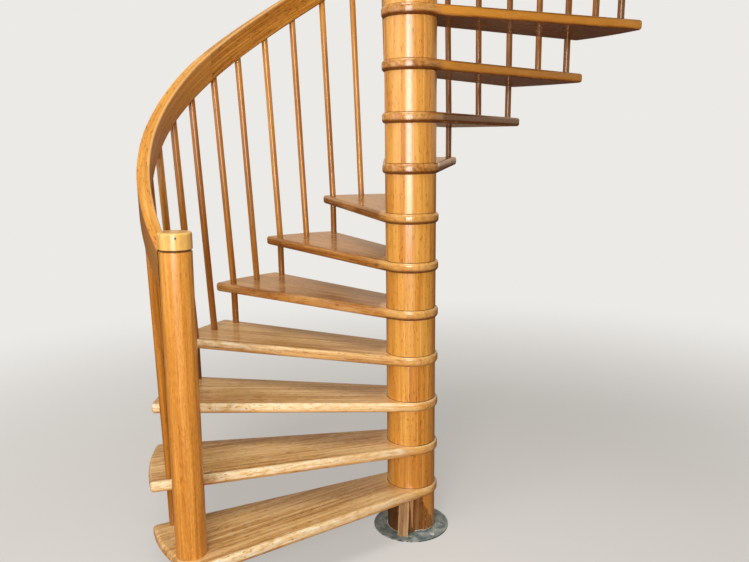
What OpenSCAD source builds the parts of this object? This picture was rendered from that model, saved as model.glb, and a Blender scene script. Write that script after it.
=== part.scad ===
// Wooden spiral stair, climbing clockwise seen from above.
// Origin on the column's axis at the underside of the base plate, +Z up, millimetres.

/* [Stair] */
// Number of treads
tread_count = 13; // [4:1:16]
// Top of the first tread above the floor
first_rise = 216; // [180:1:260]
// Height from tread to tread
rise = 195; // [160:1:220]
// Turn from tread to tread, in degrees
step_angle = 18; // [16:0.5:24]
// Azimuth of the first tread's nosing line, in degrees
start_azimuth = 222.4; // [0:0.1:359.9]

/* [Treads] */
// Radius of the stair to the treads' outer edge
tread_r = 1094; // [900:1:1300]
// Thickness of a tread
tread_t = 42; // [32:1:50]
// Radius of the collar that a tread makes round the column
collar_r = 113; // [106:1:130]
// Rounding of a tread's edges
nosing_r = 13; // [6:1:15]
// Radius of a tread's outer corners, seen from above
corner_r = 18; // [15:1:45]
// Wood in front of the nosing line at the outer edge, in degrees
nosing_lap = 1.25; // [0.9:0.05:2]
// Wood behind the next nosing line at the outer edge, in degrees
rear_lap = 1.45; // [1:0.05:2]
// Radius of the first tread's front corner, round the newel's foot
first_corner_r = 130; // [30:1:200]
// How far that corner is drawn in from the stair's edge
first_corner_in = 22; // [0:1:40]

/* [Column] */
// Diameter of the wooden drums
drum_d = 205; // [180:1:210]
// Eased edge of a drum
drum_ease = 1.5; // [0.5:0.5:4]
// Diameter of the steel post inside the drums
post_d = 60; // [40:1:80]
// Column above the last tread
top_drum_h = 900; // [600:10:1100]
// Thickness of the cap on the column
column_cap_t = 34; // [24:1:60]
// Radius of the cap on the column
column_cap_r = 114; // [106:1:140]

/* [Base plate] */
// Diameter of the base plate
plate_d = 328; // [280:2:420]
// Thickness of the base plate
plate_t = 6; // [5:1:12]
// Number of screw holes in the base plate
plate_holes = 8; // [4:1:12]
// Diameter of the circle of screw holes
plate_pcd = 276; // [240:2:300]
// Diameter of a screw hole
plate_hole_d = 11; // [6:0.5:14]
// Diameter of a countersink
plate_sink_d = 20; // [16:0.5:24]
// Depth of a countersink
plate_sink_t = 3; // [2:0.5:4]
// Azimuth of the first screw hole, in degrees
plate_hole_azimuth = 41.5; // [0:0.5:90]

/* [Broken staves of the bottom drum] */
// Width of a stave
stave_w = 46; // [30:1:60]
// Depth of the staves that are missing
stave_t = 8; // [4:0.5:12]
// Azimuth where the missing staves begin, in degrees
break_from = 238; // [200:1:260]
// Azimuth where the missing staves end, in degrees
break_to = 300; // [280:1:330]
// Azimuth of the loose stave, in degrees
slat_azimuth = 254; // [245:1:270]
// How far the loose stave's foot has slid out from the drum
slat_slide = 28; // [4:1:30]
// Azimuth of the splinter, in degrees
splinter_azimuth = 272; // [268:1:290]
// Length of the loose stave and of the splinter, as shares of the bottom drum's height
slat_share = 0.97; // [0.8:0.01:1]
splinter_share = 0.85; // [0.5:0.01:0.95]
// Width of the splinter at its top
splinter_w = 15; // [6:1:18]

/* [Balusters] */
// Diameter of a baluster
rod_d = 30; // [18:0.5:34]
// How far the balusters' feet stand in from the treads' outer edge
rod_inset = 101; // [60:1:140]
// Outward lean of the balusters at the nosings, in degrees
rod_lean_out = 2; // [0:0.1:3]
// How far the first baluster's foot stands outside the others' circle
rod_first_out = 25; // [0:1:40]
// Baluster from which the feet stand on the circle, counted in half treads
rod_in_line = 8; // [4:1:12]
// Lean of the balusters towards the foot of the stair, in degrees
rod_lean_back = 1.4; // [0:0.1:3]
// Depth of a socket in a tread
socket_t = 15; // [8:1:18]

/* [Handrail] */
// Underside of the handrail above the nosing line
rail_h = 980; // [800:1:1050]
// Width of the handrail
rail_w = 47; // [40:1:80]
// Depth of the handrail above its first length, square to its run
rail_t = 97; // [60:1:110]
// How much deeper the handrail gets on its way up
rail_swell = 12; // [0:1:20]
// Turn from the newel to where the handrail begins to get deeper, in degrees
swell_from = 40; // [0:1:90]
// Turn over which it does, in degrees
swell_over = 18; // [4:1:40]
// How much lower the handrail's top is at the newel than its climb higher up would bring it
rail_top_fall = 36; // [0:1:60]
// How much lower its underside is there
rail_under_fall = 58; // [0:1:80]
// Turn from the newel over which that dies out, in degrees
rail_fall_over = 48; // [20:1:90]
// Eased edge of the handrail
rail_ease = 8; // [4:1:14]
// How far the handrail's middle lies inside the balusters' tops
rail_set_in = 2; // [0:0.5:10]
// Turn of the first length of handrail from the newel, in degrees
rail_first = 22.4; // [10:0.1:40]
// Number of lengths that the handrail is glued up from
rail_lengths = 6; // [3:1:8]
// How far the handrail runs past the last baluster, in degrees
rail_end = 2.5; // [1.5:0.5:6]

/* [Newel] */
// Diameter of the newel
newel_d = 111; // [80:1:130]
// How far the newel's cap reaches above the height of rail_h, measured from the floor
newel_over_rail = 404; // [220:1:520]
// Height of the newel's cap
newel_cap_t = 60; // [40:1:90]
// How far the cap stands out past the newel
newel_cap_over = 1.5; // [0.5:0.5:6]
// Rounding of the cap's top edge
newel_cap_round = 8; // [3:1:12]
// Depth of the groove under the cap
newel_groove = 4; // [1:0.5:6]
// Newel behind the first nosing line, in degrees
newel_back = 4.3; // [3:0.1:6]
// How far the newel's middle stands in from the treads' outer edge
newel_inset = 84; // [60:1:140]
// Inward lean of the newel, in degrees
newel_lean_in = 0.9; // [0:0.1:2]
// Lean of the newel towards the foot of the stair, in degrees
newel_lean_back = 0.3; // [0:0.1:2]

/* [Clearances] */
// Clearance round the post in its bores
post_gap = 0.5; // [0.2:0.1:1]
// Clearance round a dowel in its socket
rod_gap = 0.3; // [0.2:0.1:1]
// Glue gap at a seat between curved faces
seat_gap = 0.3; // [0.1:0.1:0.6]

/* [Hidden] */
$fn = 96;
hull_fn = 32;
rail_facet = 4;
eps = 1;
far = 3000;
wood = "#b8742f";
dark_wood = "#7d4a24";
rail_wood = "#b06c2c";
steel = "#5b6463";

// Heights and azimuths that the pieces share
rod_circle_r = tread_r - rod_inset;
rod_top_r = rod_circle_r + rail_h * tan(rod_lean_out);
last_rod = 2 * tread_count;
newel_r = tread_r - newel_inset;
newel_top = rail_h + newel_over_rail;
rail_mid_r = rod_top_r - rail_set_in;
rail_pitch = atan(rise * 180 / (step_angle * PI * rail_mid_r));
rail_from = start_azimuth - newel_back;
rail_to = rod_azimuth(last_rod) - rail_end;
column_top = tread_top(tread_count) + top_drum_h;

// Top face of tread k, counted from 1
function tread_top(k) = first_rise + (k - 1) * rise;
// Azimuth of baluster j: even ones stand on the nosing lines, odd ones in mid tread
function rod_azimuth(j) = start_azimuth - j * step_angle / 2;
// Tread that baluster j stands on
function rod_tread(j) = min(tread_count, 1 + floor(j / 2));
// Height of the nosing line at an azimuth
function pitch_z(az) = first_rise + rise * (start_azimuth - az) / step_angle;
// Share of the handrail's fall towards the newel that is reached at an azimuth
function rail_fall(az) = pow(max(0, 1 - (rail_from - az) / rail_fall_over), 2);
// Height of the handrail's underside at an azimuth
function rail_under(az) = pitch_z(az) + rail_h - rail_under_fall * rail_fall(az);
// Slope of the handrail's underside at an azimuth, in degrees
function rail_slope(az) = atan((rail_under(az - 1) - rail_under(az + 1)) * 90 / (PI * rail_mid_r));
// Upright depth of the handrail at an azimuth
function rail_depth_z(az) =
    (rail_t + rail_swell * min(1, max(0, (rail_from - swell_from - az) / swell_over)))
        / cos(rail_pitch) + (rail_under_fall - rail_top_fall) * rail_fall(az);
// Azimuth where length i of the handrail begins, counted from 1
function rail_joint(i) =
    i == 1 ? rail_from
    : rail_from - rail_first
        + (rail_to - rail_from + rail_first) * (i - 2) / (rail_lengths - 1);

// Radius of baluster j's foot; the lowest ones stand further out, the nearer to the newel
function rod_foot_r(j) = rod_circle_r + rod_first_out * max(0, rod_in_line - j) / (rod_in_line - 2);
// Height at which baluster j stands
function rod_base(j) = tread_top(rod_tread(j));
// Sideways run of baluster j for each millimetre that it rises
function rod_slope(j) = (rod_top_r - rod_foot_r(j)) / (rail_under(rod_azimuth(j)) - rod_base(j));
// Where baluster j is at a height: its radius and its azimuth
function rod_r_at(j, z) = rod_foot_r(j) + (z - rod_base(j)) * rod_slope(j);
function rod_az_at(j, z) =
    rod_azimuth(j) + atan((z - rod_base(j)) * tan(rod_lean_back) / rod_r_at(j, z));
// Height where baluster j meets the handrail, in two steps
function rod_reach(j, z) = rail_under(rod_az_at(j, z));
function rod_top(j) = rod_reach(j, rod_reach(j, rail_under(rod_azimuth(j))));

// Places children at an azimuth and radius, with +X pointing outwards
module polar(az, r, z = 0) {
    rotate([0, 0, az]) translate([r, 0, z]) children();
}

// Disc with a rounded edge, the stock shape of treads and caps
module puck(r, t, edge) {
    profile = concat(
        [[0, 0]],
        [for (a = [-90:30:0]) [r - edge + edge * cos(a), edge + edge * sin(a)]],
        [for (a = [0:30:90]) [r - edge + edge * cos(a), t - edge + edge * sin(a)]],
        [[0, t]]);
    rotate_extrude($fn = hull_fn) polygon(profile);
}

// Leaning round bar on baluster j's axis, cut level at z_low and z_high
module rod_bar(j, d, z_low, z_high) {
    intersection() {
        polar(rod_azimuth(j), rod_foot_r(j), rod_base(j))
            rotate([-rod_lean_back, atan(rod_slope(j)), 0])
                translate([0, 0, z_low - rod_base(j) - 2 * d])
                    cylinder(h = z_high - z_low + 4 * d, d = d);
        polar(rod_azimuth(j), rod_foot_r(j), z_low)
            translate([-far / 20, -far / 20, 0])
                cube([far / 10, far / 10, z_high - z_low]);
    }
}

// Baluster j, from its socket to the slope of the handrail
module baluster(j) {
    z = rod_top(j);
    difference() {
        rod_bar(j, rod_d, rod_base(j) - socket_t, z + rod_d);
        polar(rod_az_at(j, z), rod_r_at(j, z), z - seat_gap)
            rotate([-rail_slope(rod_az_at(j, z)), 0, 0])
                translate([-far / 20, -far / 20, 0])
                    cube([far / 10, far / 10, 4 * rod_d]);
    }
}

// Upright round bar at the foot of baluster j, between two heights
module spacer_bar(j, d, z_low, z_high) {
    polar(rod_azimuth(j), rod_foot_r(j), z_low) cylinder(h = z_high - z_low, d = d);
}

// Short upright dowels, each between a tread and the nosing of the next
module spacers() {
    color(wood) for (k = [2:tread_count])
        spacer_bar(2 * k - 2, rod_d, tread_top(k - 1) - socket_t, tread_top(k) - tread_t + socket_t);
}

// Balusters of tread k: the one at its nosing and the one in mid tread
module balusters(k) {
    color(wood) {
        baluster(2 * k - 2);
        baluster(2 * k - 1);
        if (k == tread_count) baluster(last_rod);
    }
}

// Azimuth of the middle of a tread's front corner, of a radius and drawn in from the stair's edge
function corner_azimuth(front_dir, radius, drawn_in) =
    front_dir + asin((collar_r - radius) / (tread_r - drawn_in - radius));

// Wedge of tread k, bored for the post, with sockets for balusters and spacers
module tread(k) {
    front_r = k == 1 ? first_corner_r : corner_r;
    front_in = k == 1 ? first_corner_in : 0;
    front_dir = rod_azimuth(2 * k - 2) + nosing_lap - asin(collar_r / tread_r);
    rear_dir = rod_azimuth(2 * k) - rear_lap + asin(collar_r / tread_r);
    front_az = corner_azimuth(front_dir, front_r, front_in);
    rear_az = rear_dir - asin((collar_r - corner_r) / (tread_r - corner_r));
    low = tread_top(k) - tread_t;
    color(k < 5 ? wood : dark_wood) difference() {
        hull() {
            translate([0, 0, low]) puck(collar_r, tread_t, nosing_r);
            polar(front_az, tread_r - front_in - front_r, low) puck(front_r, tread_t, nosing_r);
            for (i = [1:6])
                polar(front_az + (rear_az - front_az) * i / 6,
                        tread_r - corner_r - front_in * pow(1 - i / 6, 2), low)
                    puck(corner_r, tread_t, nosing_r);
        }
        translate([0, 0, low - eps]) cylinder(h = tread_t + 2 * eps, d = post_d + 2 * post_gap);
        for (j = [2 * k - 2, 2 * k - 1])
            if (k > 1) rod_bar(j, rod_d + 2 * rod_gap, tread_top(k) - socket_t, tread_top(k) + eps);
        if (k > 1) spacer_bar(2 * k - 2, rod_d + 2 * rod_gap, low - eps, low + socket_t);
        if (k < tread_count)
            spacer_bar(2 * k, rod_d + 2 * rod_gap, tread_top(k) - socket_t, tread_top(k) + eps);
        else
            rod_bar(last_rod, rod_d + 2 * rod_gap, tread_top(k) - socket_t, tread_top(k) + eps);
    }
}

// Hollow drum with eased edges, from one height to another
module drum(z_low, z_high) {
    r = drum_d / 2;
    bore_r = post_d / 2 + post_gap;
    color(wood) rotate_extrude() polygon([
        [bore_r, z_low], [r - drum_ease, z_low], [r, z_low + drum_ease],
        [r, z_high - drum_ease], [r - drum_ease, z_high], [bore_r, z_high]]);
}

// Drum under the first tread, with the outer staves broken away on one side
module bottom_drum() {
    z_high = tread_top(1) - tread_t;
    color(wood) difference() {
        drum(plate_t, z_high);
        rotate([0, 0, break_from]) rotate_extrude(angle = break_to - break_from)
            translate([drum_d / 2 - stave_t, plate_t - eps])
                square([2 * stave_t, z_high - plate_t + 2 * eps]);
    }
}

// Loose stave that leans on the core of the bottom drum with its foot on the plate
module loose_slat() {
    core_r = drum_d / 2 - stave_t;
    drop = tread_top(1) - tread_t - plate_t;
    lean = atan(slat_slide / drop);
    color(wood) intersection() {
        polar(slat_azimuth, core_r + seat_gap + slat_slide, plate_t)
            rotate([0, -lean, 0])
                translate([0, -stave_w / 2, -stave_t])
                    cube([stave_t, stave_w, drop * slat_share + stave_t]);
        translate([-far / 2, -far / 2, plate_t]) cube([far, far, drop]);
    }
}

// Splinter of a stave that hangs on beside the break
module splinter() {
    core_r = drum_d / 2 - stave_t;
    z_high = tread_top(1) - tread_t;
    length = (z_high - plate_t) * splinter_share;
    color(wood) polar(splinter_azimuth, core_r + seat_gap, z_high - seat_gap)
        rotate([90, 0, 90]) linear_extrude(stave_t * 0.8) polygon([
            [-splinter_w / 2, 0], [splinter_w / 2, 0],
            [splinter_w / 8, -length], [-splinter_w / 8, -length * 0.96]]);
}

module drums() {
    for (k = [1:tread_count - 1]) drum(tread_top(k), tread_top(k + 1) - tread_t);
}

module top_drum() {
    drum(tread_top(tread_count), column_top);
}

module column_cap() {
    color(dark_wood) translate([0, 0, column_top])
        rotate_extrude() polygon(concat(
            [[0, 0], [column_cap_r - nosing_r, 0]],
            [for (a = [-90:15:90]) [column_cap_r - nosing_r + nosing_r * cos(a),
                column_cap_t / 2 + (column_cap_t / 2) * sin(a)]],
            [[0, column_cap_t]]));
}

module centre_post() {
    color(steel) translate([0, 0, plate_t])
        cylinder(h = column_top - plate_t - seat_gap, d = post_d);
}

// Round steel plate with countersunk screw holes
module base_plate() {
    color(steel) difference() {
        rotate_extrude() polygon([
            [0, 0], [plate_d / 2, 0], [plate_d / 2, plate_t - 1],
            [plate_d / 2 - 1, plate_t], [0, plate_t]]);
        for (i = [0:plate_holes - 1])
            polar(plate_hole_azimuth + i * 360 / plate_holes, plate_pcd / 2) {
                translate([0, 0, -eps]) cylinder(h = plate_t + 2 * eps, d = plate_hole_d);
                translate([0, 0, plate_t - plate_sink_t])
                    cylinder(h = plate_sink_t + 0.01, d1 = plate_hole_d, d2 = plate_sink_d);
            }
    }
}

// Puts children on the newel's leaning axis, at a length along it from the first tread
module on_newel(along) {
    polar(start_azimuth - newel_back, newel_r, tread_top(1))
        rotate([-newel_lean_back, -newel_lean_in, 0])
            translate([0, 0, along]) children();
}

// Turned newel, cut level where it stands on the first tread
module newel_post() {
    r = newel_d / 2;
    h = newel_top - newel_cap_t - tread_top(1);
    below = newel_d / 10;
    color(wood) intersection() {
        on_newel(0) rotate_extrude() polygon([
            [0, -below], [r, -below], [r, h - newel_groove], [r - newel_groove, h], [0, h]]);
        translate([-far / 2, -far / 2, tread_top(1)]) cube([far, far, far]);
    }
}

// Cap of the newel, with a rounded top edge
module newel_cap() {
    r = newel_d / 2 + newel_cap_over;
    edge = r - newel_cap_round;
    color(wood) on_newel(newel_top - newel_cap_t - tread_top(1))
        rotate_extrude() polygon(concat(
            [[0, 0], [r - newel_groove - newel_cap_over, 0], [r, newel_groove]],
            [for (a = [0:15:90]) [edge + newel_cap_round * cos(a),
                newel_cap_t - newel_cap_round + newel_cap_round * sin(a)]],
            [[0, newel_cap_t]]));
}

// Section of the handrail: a rectangle with eased corners, as [outwards, up] from its underside
function rail_section(h) = let (w = rail_w / 2, e = rail_ease, m = rail_ease * 0.3) [
    [-w + e, 0], [-w + m, m], [-w, e], [-w, h - e], [-w + m, h - m], [-w + e, h],
    [w - e, h], [w - m, h - m], [w, h - e], [w, e], [w - m, m], [w - e, 0]];

// Length of handrail between two azimuths, swept along the pitch of the stair
module rail_run(az_low, az_high) {
    n = len(rail_section(rail_t));
    steps = ceil(abs(az_high - az_low) / rail_facet);
    points = [for (i = [0:steps])
        let (az = az_low + (az_high - az_low) * i / steps)
        for (p = rail_section(rail_depth_z(az)))
        let (r = rail_mid_r + p[0]) [r * cos(az), r * sin(az), rail_under(az) + p[1]]];
    sides = [for (i = [0:steps - 1], j = [0:n - 1], half = [0, 1])
        let (a = i * n + j, b = i * n + (j + 1) % n)
        half == 0 ? [a, b, b + n] : [a, b + n, a + n]];
    ends = [[for (j = [n - 1:-1:0]) j], [for (j = [0:n - 1]) steps * n + j]];
    polyhedron(points, concat(sides, ends), convexity = 6);
}

// One of the lengths that the handrail is glued up from; the first is coped to the newel
module handrail(i) {
    color(rail_wood) difference() {
        rail_run(rail_joint(i), rail_joint(i + 1));
        if (i == 1)
            on_newel(0) cylinder(h = newel_top, r = newel_d / 2 + newel_cap_over + seat_gap);
    }
}

base_plate();
centre_post();
bottom_drum();
loose_slat();
splinter();
drums();
top_drum();
column_cap();
tread(1);  // tread_01
tread(2);  // tread_02
tread(3);  // tread_03
tread(4);  // tread_04
tread(5);  // tread_05
tread(6);  // tread_06
tread(7);  // tread_07
tread(8);  // tread_08
tread(9);  // tread_09
tread(10);  // tread_10
tread(11);  // tread_11
tread(12);  // tread_12
tread(13);  // tread_13
balusters(2);  // balusters_02
balusters(3);  // balusters_03
balusters(4);  // balusters_04
balusters(5);  // balusters_05
balusters(6);  // balusters_06
balusters(7);  // balusters_07
balusters(8);  // balusters_08
balusters(9);  // balusters_09
balusters(10);  // balusters_10
balusters(11);  // balusters_11
balusters(12);  // balusters_12
balusters(13);  // balusters_13
spacers();
newel_post();
newel_cap();
handrail(1);  // handrail_1
handrail(2);  // handrail_2
handrail(3);  // handrail_3
handrail(4);  // handrail_4
handrail(5);  // handrail_5
handrail(6);  // handrail_6
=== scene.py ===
# %% [markdown]
# A spiral stair of varnished wood
# This lesson dresses a wooden spiral stair: thirteen wedge treads threaded on a round column,
# a rail that winds up beside them, round balusters and one thick newel at the foot.
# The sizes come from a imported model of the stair, which is loaded as a fixed frame.
# We measure its box first, because nothing that we add may reach outside it.

# %% Load the frame
import math
import random
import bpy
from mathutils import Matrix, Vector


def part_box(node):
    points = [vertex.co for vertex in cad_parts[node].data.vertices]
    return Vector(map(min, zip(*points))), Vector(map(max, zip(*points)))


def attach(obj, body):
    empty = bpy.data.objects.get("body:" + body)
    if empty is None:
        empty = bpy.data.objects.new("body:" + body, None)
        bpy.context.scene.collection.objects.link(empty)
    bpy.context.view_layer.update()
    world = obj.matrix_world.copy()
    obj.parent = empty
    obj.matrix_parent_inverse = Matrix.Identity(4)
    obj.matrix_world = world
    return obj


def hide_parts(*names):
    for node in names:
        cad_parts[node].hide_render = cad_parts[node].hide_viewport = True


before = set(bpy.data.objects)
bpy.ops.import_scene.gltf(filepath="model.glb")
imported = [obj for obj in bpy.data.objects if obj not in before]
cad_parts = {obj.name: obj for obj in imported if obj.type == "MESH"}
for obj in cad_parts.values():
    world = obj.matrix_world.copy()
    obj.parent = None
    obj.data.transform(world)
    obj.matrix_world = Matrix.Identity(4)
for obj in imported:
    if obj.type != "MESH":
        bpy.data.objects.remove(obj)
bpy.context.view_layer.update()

from types import SimpleNamespace

import bmesh
import bpy
from mathutils import Matrix, Vector

# %% [markdown]
# The stair's own sizes
# What the frame can tell us is read from it, in metres: the height of the treads and the radius
# of the column. The stair's plan can't be read from a box, so it is written here once, with its
# turns in degrees. Sizes of one kind of piece come with that piece, under names of their own.

# %% Sizes read from the frame
TREADS = 13
first_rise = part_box("tread_01")[1].z
tread_t = first_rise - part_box("tread_01")[0].z
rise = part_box("tread_02")[1].z - first_rise
drum_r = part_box("top_drum")[1].x
plate_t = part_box("centre_post")[0].z
column_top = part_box("column_cap")[0].z
print("rise", round(rise, 4), "tread", round(tread_t, 4), "drum", round(drum_r, 4))

# %% Plan of the stair
step_angle = 18.0
start_azimuth = 222.4
tread_r = 1.094
print("stair", round(2 * tread_r, 3), "m across,", step_angle, "degrees a tread")


# %% Heights, azimuths and turns
def tread_top(k):
    """Height of the top of tread k, counted from 1."""
    return first_rise + (k - 1) * rise


def rod_azimuth(j):
    """Azimuth of baluster j: even ones stand on the nosing lines, odd ones in mid tread."""
    return start_azimuth - j * step_angle / 2


def polar(azimuth, radius, height=0.0):
    """The point at an azimuth in degrees, a radius and a height."""
    turn = math.radians(azimuth)
    return Vector((radius * math.cos(turn), radius * math.sin(turn), height))


def azimuth_of(point, near=180.0):
    """Azimuth of a point in degrees, within half a turn of the one named near."""
    azimuth = math.degrees(math.atan2(point.y, point.x))
    return azimuth + 360 * round((near - azimuth) / 360)


def turned_by(angle, axis="Z"):
    """The turn about an axis by an angle in degrees."""
    return Matrix.Rotation(math.radians(angle), 4, axis)


# %% Course of the rail
rod_circle_r = tread_r - 0.101
rod_lean_out = 2.0
newel_back = 4.3
rail_h = 0.980
rail_t = 0.097
rail_swell = 0.012
swell_from = 40.0
swell_over = 18.0
rail_top_fall = 0.036
rail_under_fall = 0.058
rail_fall_over = 48.0
rail_set_in = 0.002
rail_first = 22.4
rail_lengths = 6
rail_end = 2.5

rod_top_r = rod_circle_r + rail_h * math.tan(math.radians(rod_lean_out))
rail_mid_r = rod_top_r - rail_set_in
rail_pitch = math.atan(rise / (math.radians(step_angle) * rail_mid_r))
rail_from = start_azimuth - newel_back
rail_to = rod_azimuth(2 * TREADS) - rail_end


def rail_fall(azimuth):
    """Share of the rail's fall towards the newel that is reached at an azimuth."""
    return max(0.0, 1 - (rail_from - azimuth) / rail_fall_over) ** 2


def rail_under(azimuth):
    """Height of the rail's underside at an azimuth."""
    climb = rise * (start_azimuth - azimuth) / step_angle
    return first_rise + climb + rail_h - rail_under_fall * rail_fall(azimuth)


def rail_depth_z(azimuth):
    """Upright depth of the rail, which gets deeper on its way up."""
    share = (rail_from - swell_from - azimuth) / swell_over
    square_depth = rail_t + rail_swell * min(1.0, max(0.0, share))
    return (square_depth / math.cos(rail_pitch)
            + (rail_under_fall - rail_top_fall) * rail_fall(azimuth))


def rail_joint(i):
    """Azimuth where length i of the rail begins, counted from 1."""
    if i == 1:
        return rail_from
    glued = rail_from - rail_first
    return glued + (rail_to - glued) * (i - 2) / (rail_lengths - 1)


print("rail pitch", round(math.degrees(rail_pitch), 1), "turns", round(rail_from - rail_to, 1))

# %% [markdown]
# The camera
# The picture is 749 by 562 pixels. The lens and the place were solved from the treads' corners
# and the column, so the stair falls where it should. A small upward shift keeps the column
# upright in the picture while the camera looks slightly down.

# %% Camera
IMAGE_W = 749
FOCAL_PIXELS = 730.92
PRINCIPAL_BELOW = 25.36

lens = bpy.data.cameras.new("camera")
lens.sensor_fit = "HORIZONTAL"
lens.sensor_width = 36.0
lens.lens = FOCAL_PIXELS / IMAGE_W * lens.sensor_width
lens.shift_y = PRINCIPAL_BELOW / IMAGE_W
lens.clip_start = 0.05
lens.clip_end = 60.0
camera = bpy.data.objects.new("camera", lens)
camera_place = (0.0, -2.98085, 1.66338)
camera_yaw, camera_pitch, camera_roll = 2.91, -12.67, -0.70
camera.matrix_world = (
    Matrix.Translation(camera_place)
    @ turned_by(camera_yaw)
    @ turned_by(90 + camera_pitch, "X")
    @ turned_by(camera_roll))
bpy.context.collection.objects.link(camera)
bpy.context.scene.camera = camera
bpy.context.scene.view_settings.view_transform = "Standard"
print("lens", round(lens.lens, 2), "mm, shift", round(lens.shift_y, 4))

# %% [markdown]
# Shader maths as sums
# A procedural material is a long sum on sockets. One small class wraps a socket so that the sum
# can be written as a sum: every operator adds its Math node. All the other nodes come from
# one method, add, which takes a type, settings and the values or links of the sockets.

# %% Sockets that can be added up
class Value:
    """A socket of a material; arithmetic on it adds Math nodes."""

    def __init__(self, paint, socket):
        self.paint = paint
        self.socket = socket

    def __add__(self, other):
        return maths("ADD", self, other)

    def __radd__(self, other):
        return maths("ADD", other, self)

    def __sub__(self, other):
        return maths("SUBTRACT", self, other)

    def __rsub__(self, other):
        return maths("SUBTRACT", other, self)

    def __mul__(self, other):
        return maths("MULTIPLY", self, other)

    def __rmul__(self, other):
        return maths("MULTIPLY", other, self)

    def __truediv__(self, other):
        return maths("DIVIDE", self, other)


def maths(operation, *values):
    """A Math node that works on values and numbers."""
    paint = next(value.paint for value in values if isinstance(value, Value))
    return paint.add("Math", {"operation": operation}, dict(enumerate(values)))


def from_axis(x, y):
    """How far a point lies from the column's axis."""
    return maths("SQRT", x * x + y * y)


# %% Paint for a material
class Paint:
    """A material whose nodes are added one expression at a time."""

    def __init__(self, name):
        self.material = bpy.data.materials.new(name)
        self.material.use_nodes = True
        self.tree = self.material.node_tree
        self.tree.nodes.clear()

    def add(self, kind, settings=None, sockets=None, out=0):
        """Adds a node of a type, with its settings set first, and returns one output."""
        node = self.tree.nodes.new("ShaderNode" + kind)
        for name, value in (settings or {}).items():
            if name == "stops":
                self.set_stops(node.color_ramp, value)
            else:
                setattr(node, name, value)
        for name, value in (sockets or {}).items():
            if isinstance(value, Value):
                self.tree.links.new(value.socket, node.inputs[name])
            else:
                node.inputs[name].default_value = value
        return Value(self, node.outputs[out]) if node.outputs else node

    @staticmethod
    def set_stops(ramp, stops):
        """Gives a colour ramp its stops: a position and the 0 to 255 values of a colour."""
        while len(ramp.elements) < len(stops):
            ramp.elements.new(0.5)
        for element, (position, *colour) in zip(ramp.elements, stops):
            element.position = position
            element.color = srgb(*colour)

    def place(self, name="grain"):
        """The vector that a piece carries under a name."""
        return self.add("Attribute", {"attribute_name": name}, out="Vector")

    def here(self):
        """Where a point lies in the stair, in metres."""
        return self.add("TexCoord", out="Object")

    def stretch(self, vector, amounts, shift=(0.0, 0.0, 0.0)):
        """Scales a vector along its axes, and shifts it."""
        return self.add("VectorMath", {"operation": "MULTIPLY_ADD"},
                        {0: vector, 1: amounts, 2: shift})

    def split(self, vector):
        """The three parts of a vector."""
        node = self.add("SeparateXYZ", None, {0: vector}).socket.node
        return [Value(self, output) for output in node.outputs]

    def noise(self, vector, amounts, detail=3.0, roughness=0.55, shift=(0.0, 0.0, 0.0)):
        """Noise from 0 to 1 on a stretched vector."""
        return self.add("TexNoise", None, {
            "Vector": self.stretch(vector, amounts, shift), "Scale": 1.0,
            "Detail": detail, "Roughness": roughness})

    def dice(self, x, y=0.0):
        """A number from 0 to 1 that belongs to a pair of whole numbers."""
        pair = self.add("CombineXYZ", None, {0: x, 1: y})
        return self.add("TexWhiteNoise", {"noise_dimensions": "2D"}, {"Vector": pair})

    def step(self, value, start, end):
        """A soft step from 0 at start to 1 at end; start may be the greater of the two."""
        return self.add("MapRange", {"interpolation_type": "SMOOTHSTEP"},
                        {"Value": value, "From Min": start, "From Max": end})

    def mix(self, share, one, other):
        """Mixes two colours."""
        return self.add("Mix", {"data_type": "RGBA"}, {0: share, 6: one, 7: other}, out=2)

    def coats(self, colour, *coats):
        """Lays coats over a colour, each given as its share and its 0 to 255 values."""
        for share, *over in coats:
            colour = self.mix(share, colour, srgb(*over))
        return colour

    def ramp(self, value, stops):
        """A colour from a ramp."""
        return self.add("ValToRGB", {"stops": stops}, {0: value})

    def surface(self, sockets, height=None, depth=0.001, strength=0.5):
        """The finished surface, with a bump if a height is given."""
        if height is not None:
            sockets["Normal"] = self.add("Bump", None, {
                "Strength": strength, "Distance": depth, "Height": height})
        shader = self.add("BsdfPrincipled", None, sockets)
        self.add("OutputMaterial", None, {"Surface": shader})
        return self.material


def srgb(red, green, blue):
    """A colour that is named by its 0 to 255 values on screen."""
    def linear(level):
        level = level / 255
        return level / 12.92 if level <= 0.04045 else ((level + 0.055) / 1.055) ** 2.4
    return (linear(red), linear(green), linear(blue), 1.0)


# %% [markdown]
# How wood is drawn here
# Wood is a solid pattern, so it is drawn in the board's own directions: along, across and
# through. Every wooden piece carries these three lengths in an attribute named grain.
# Noise that is stretched along the board gives fibres, bent bands give the growth rings, and a
# dice per board sets its tone. The ramps then turn that one number into colours.

# %% The wood's figure
GLUE_LINE = 0.0012


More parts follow.
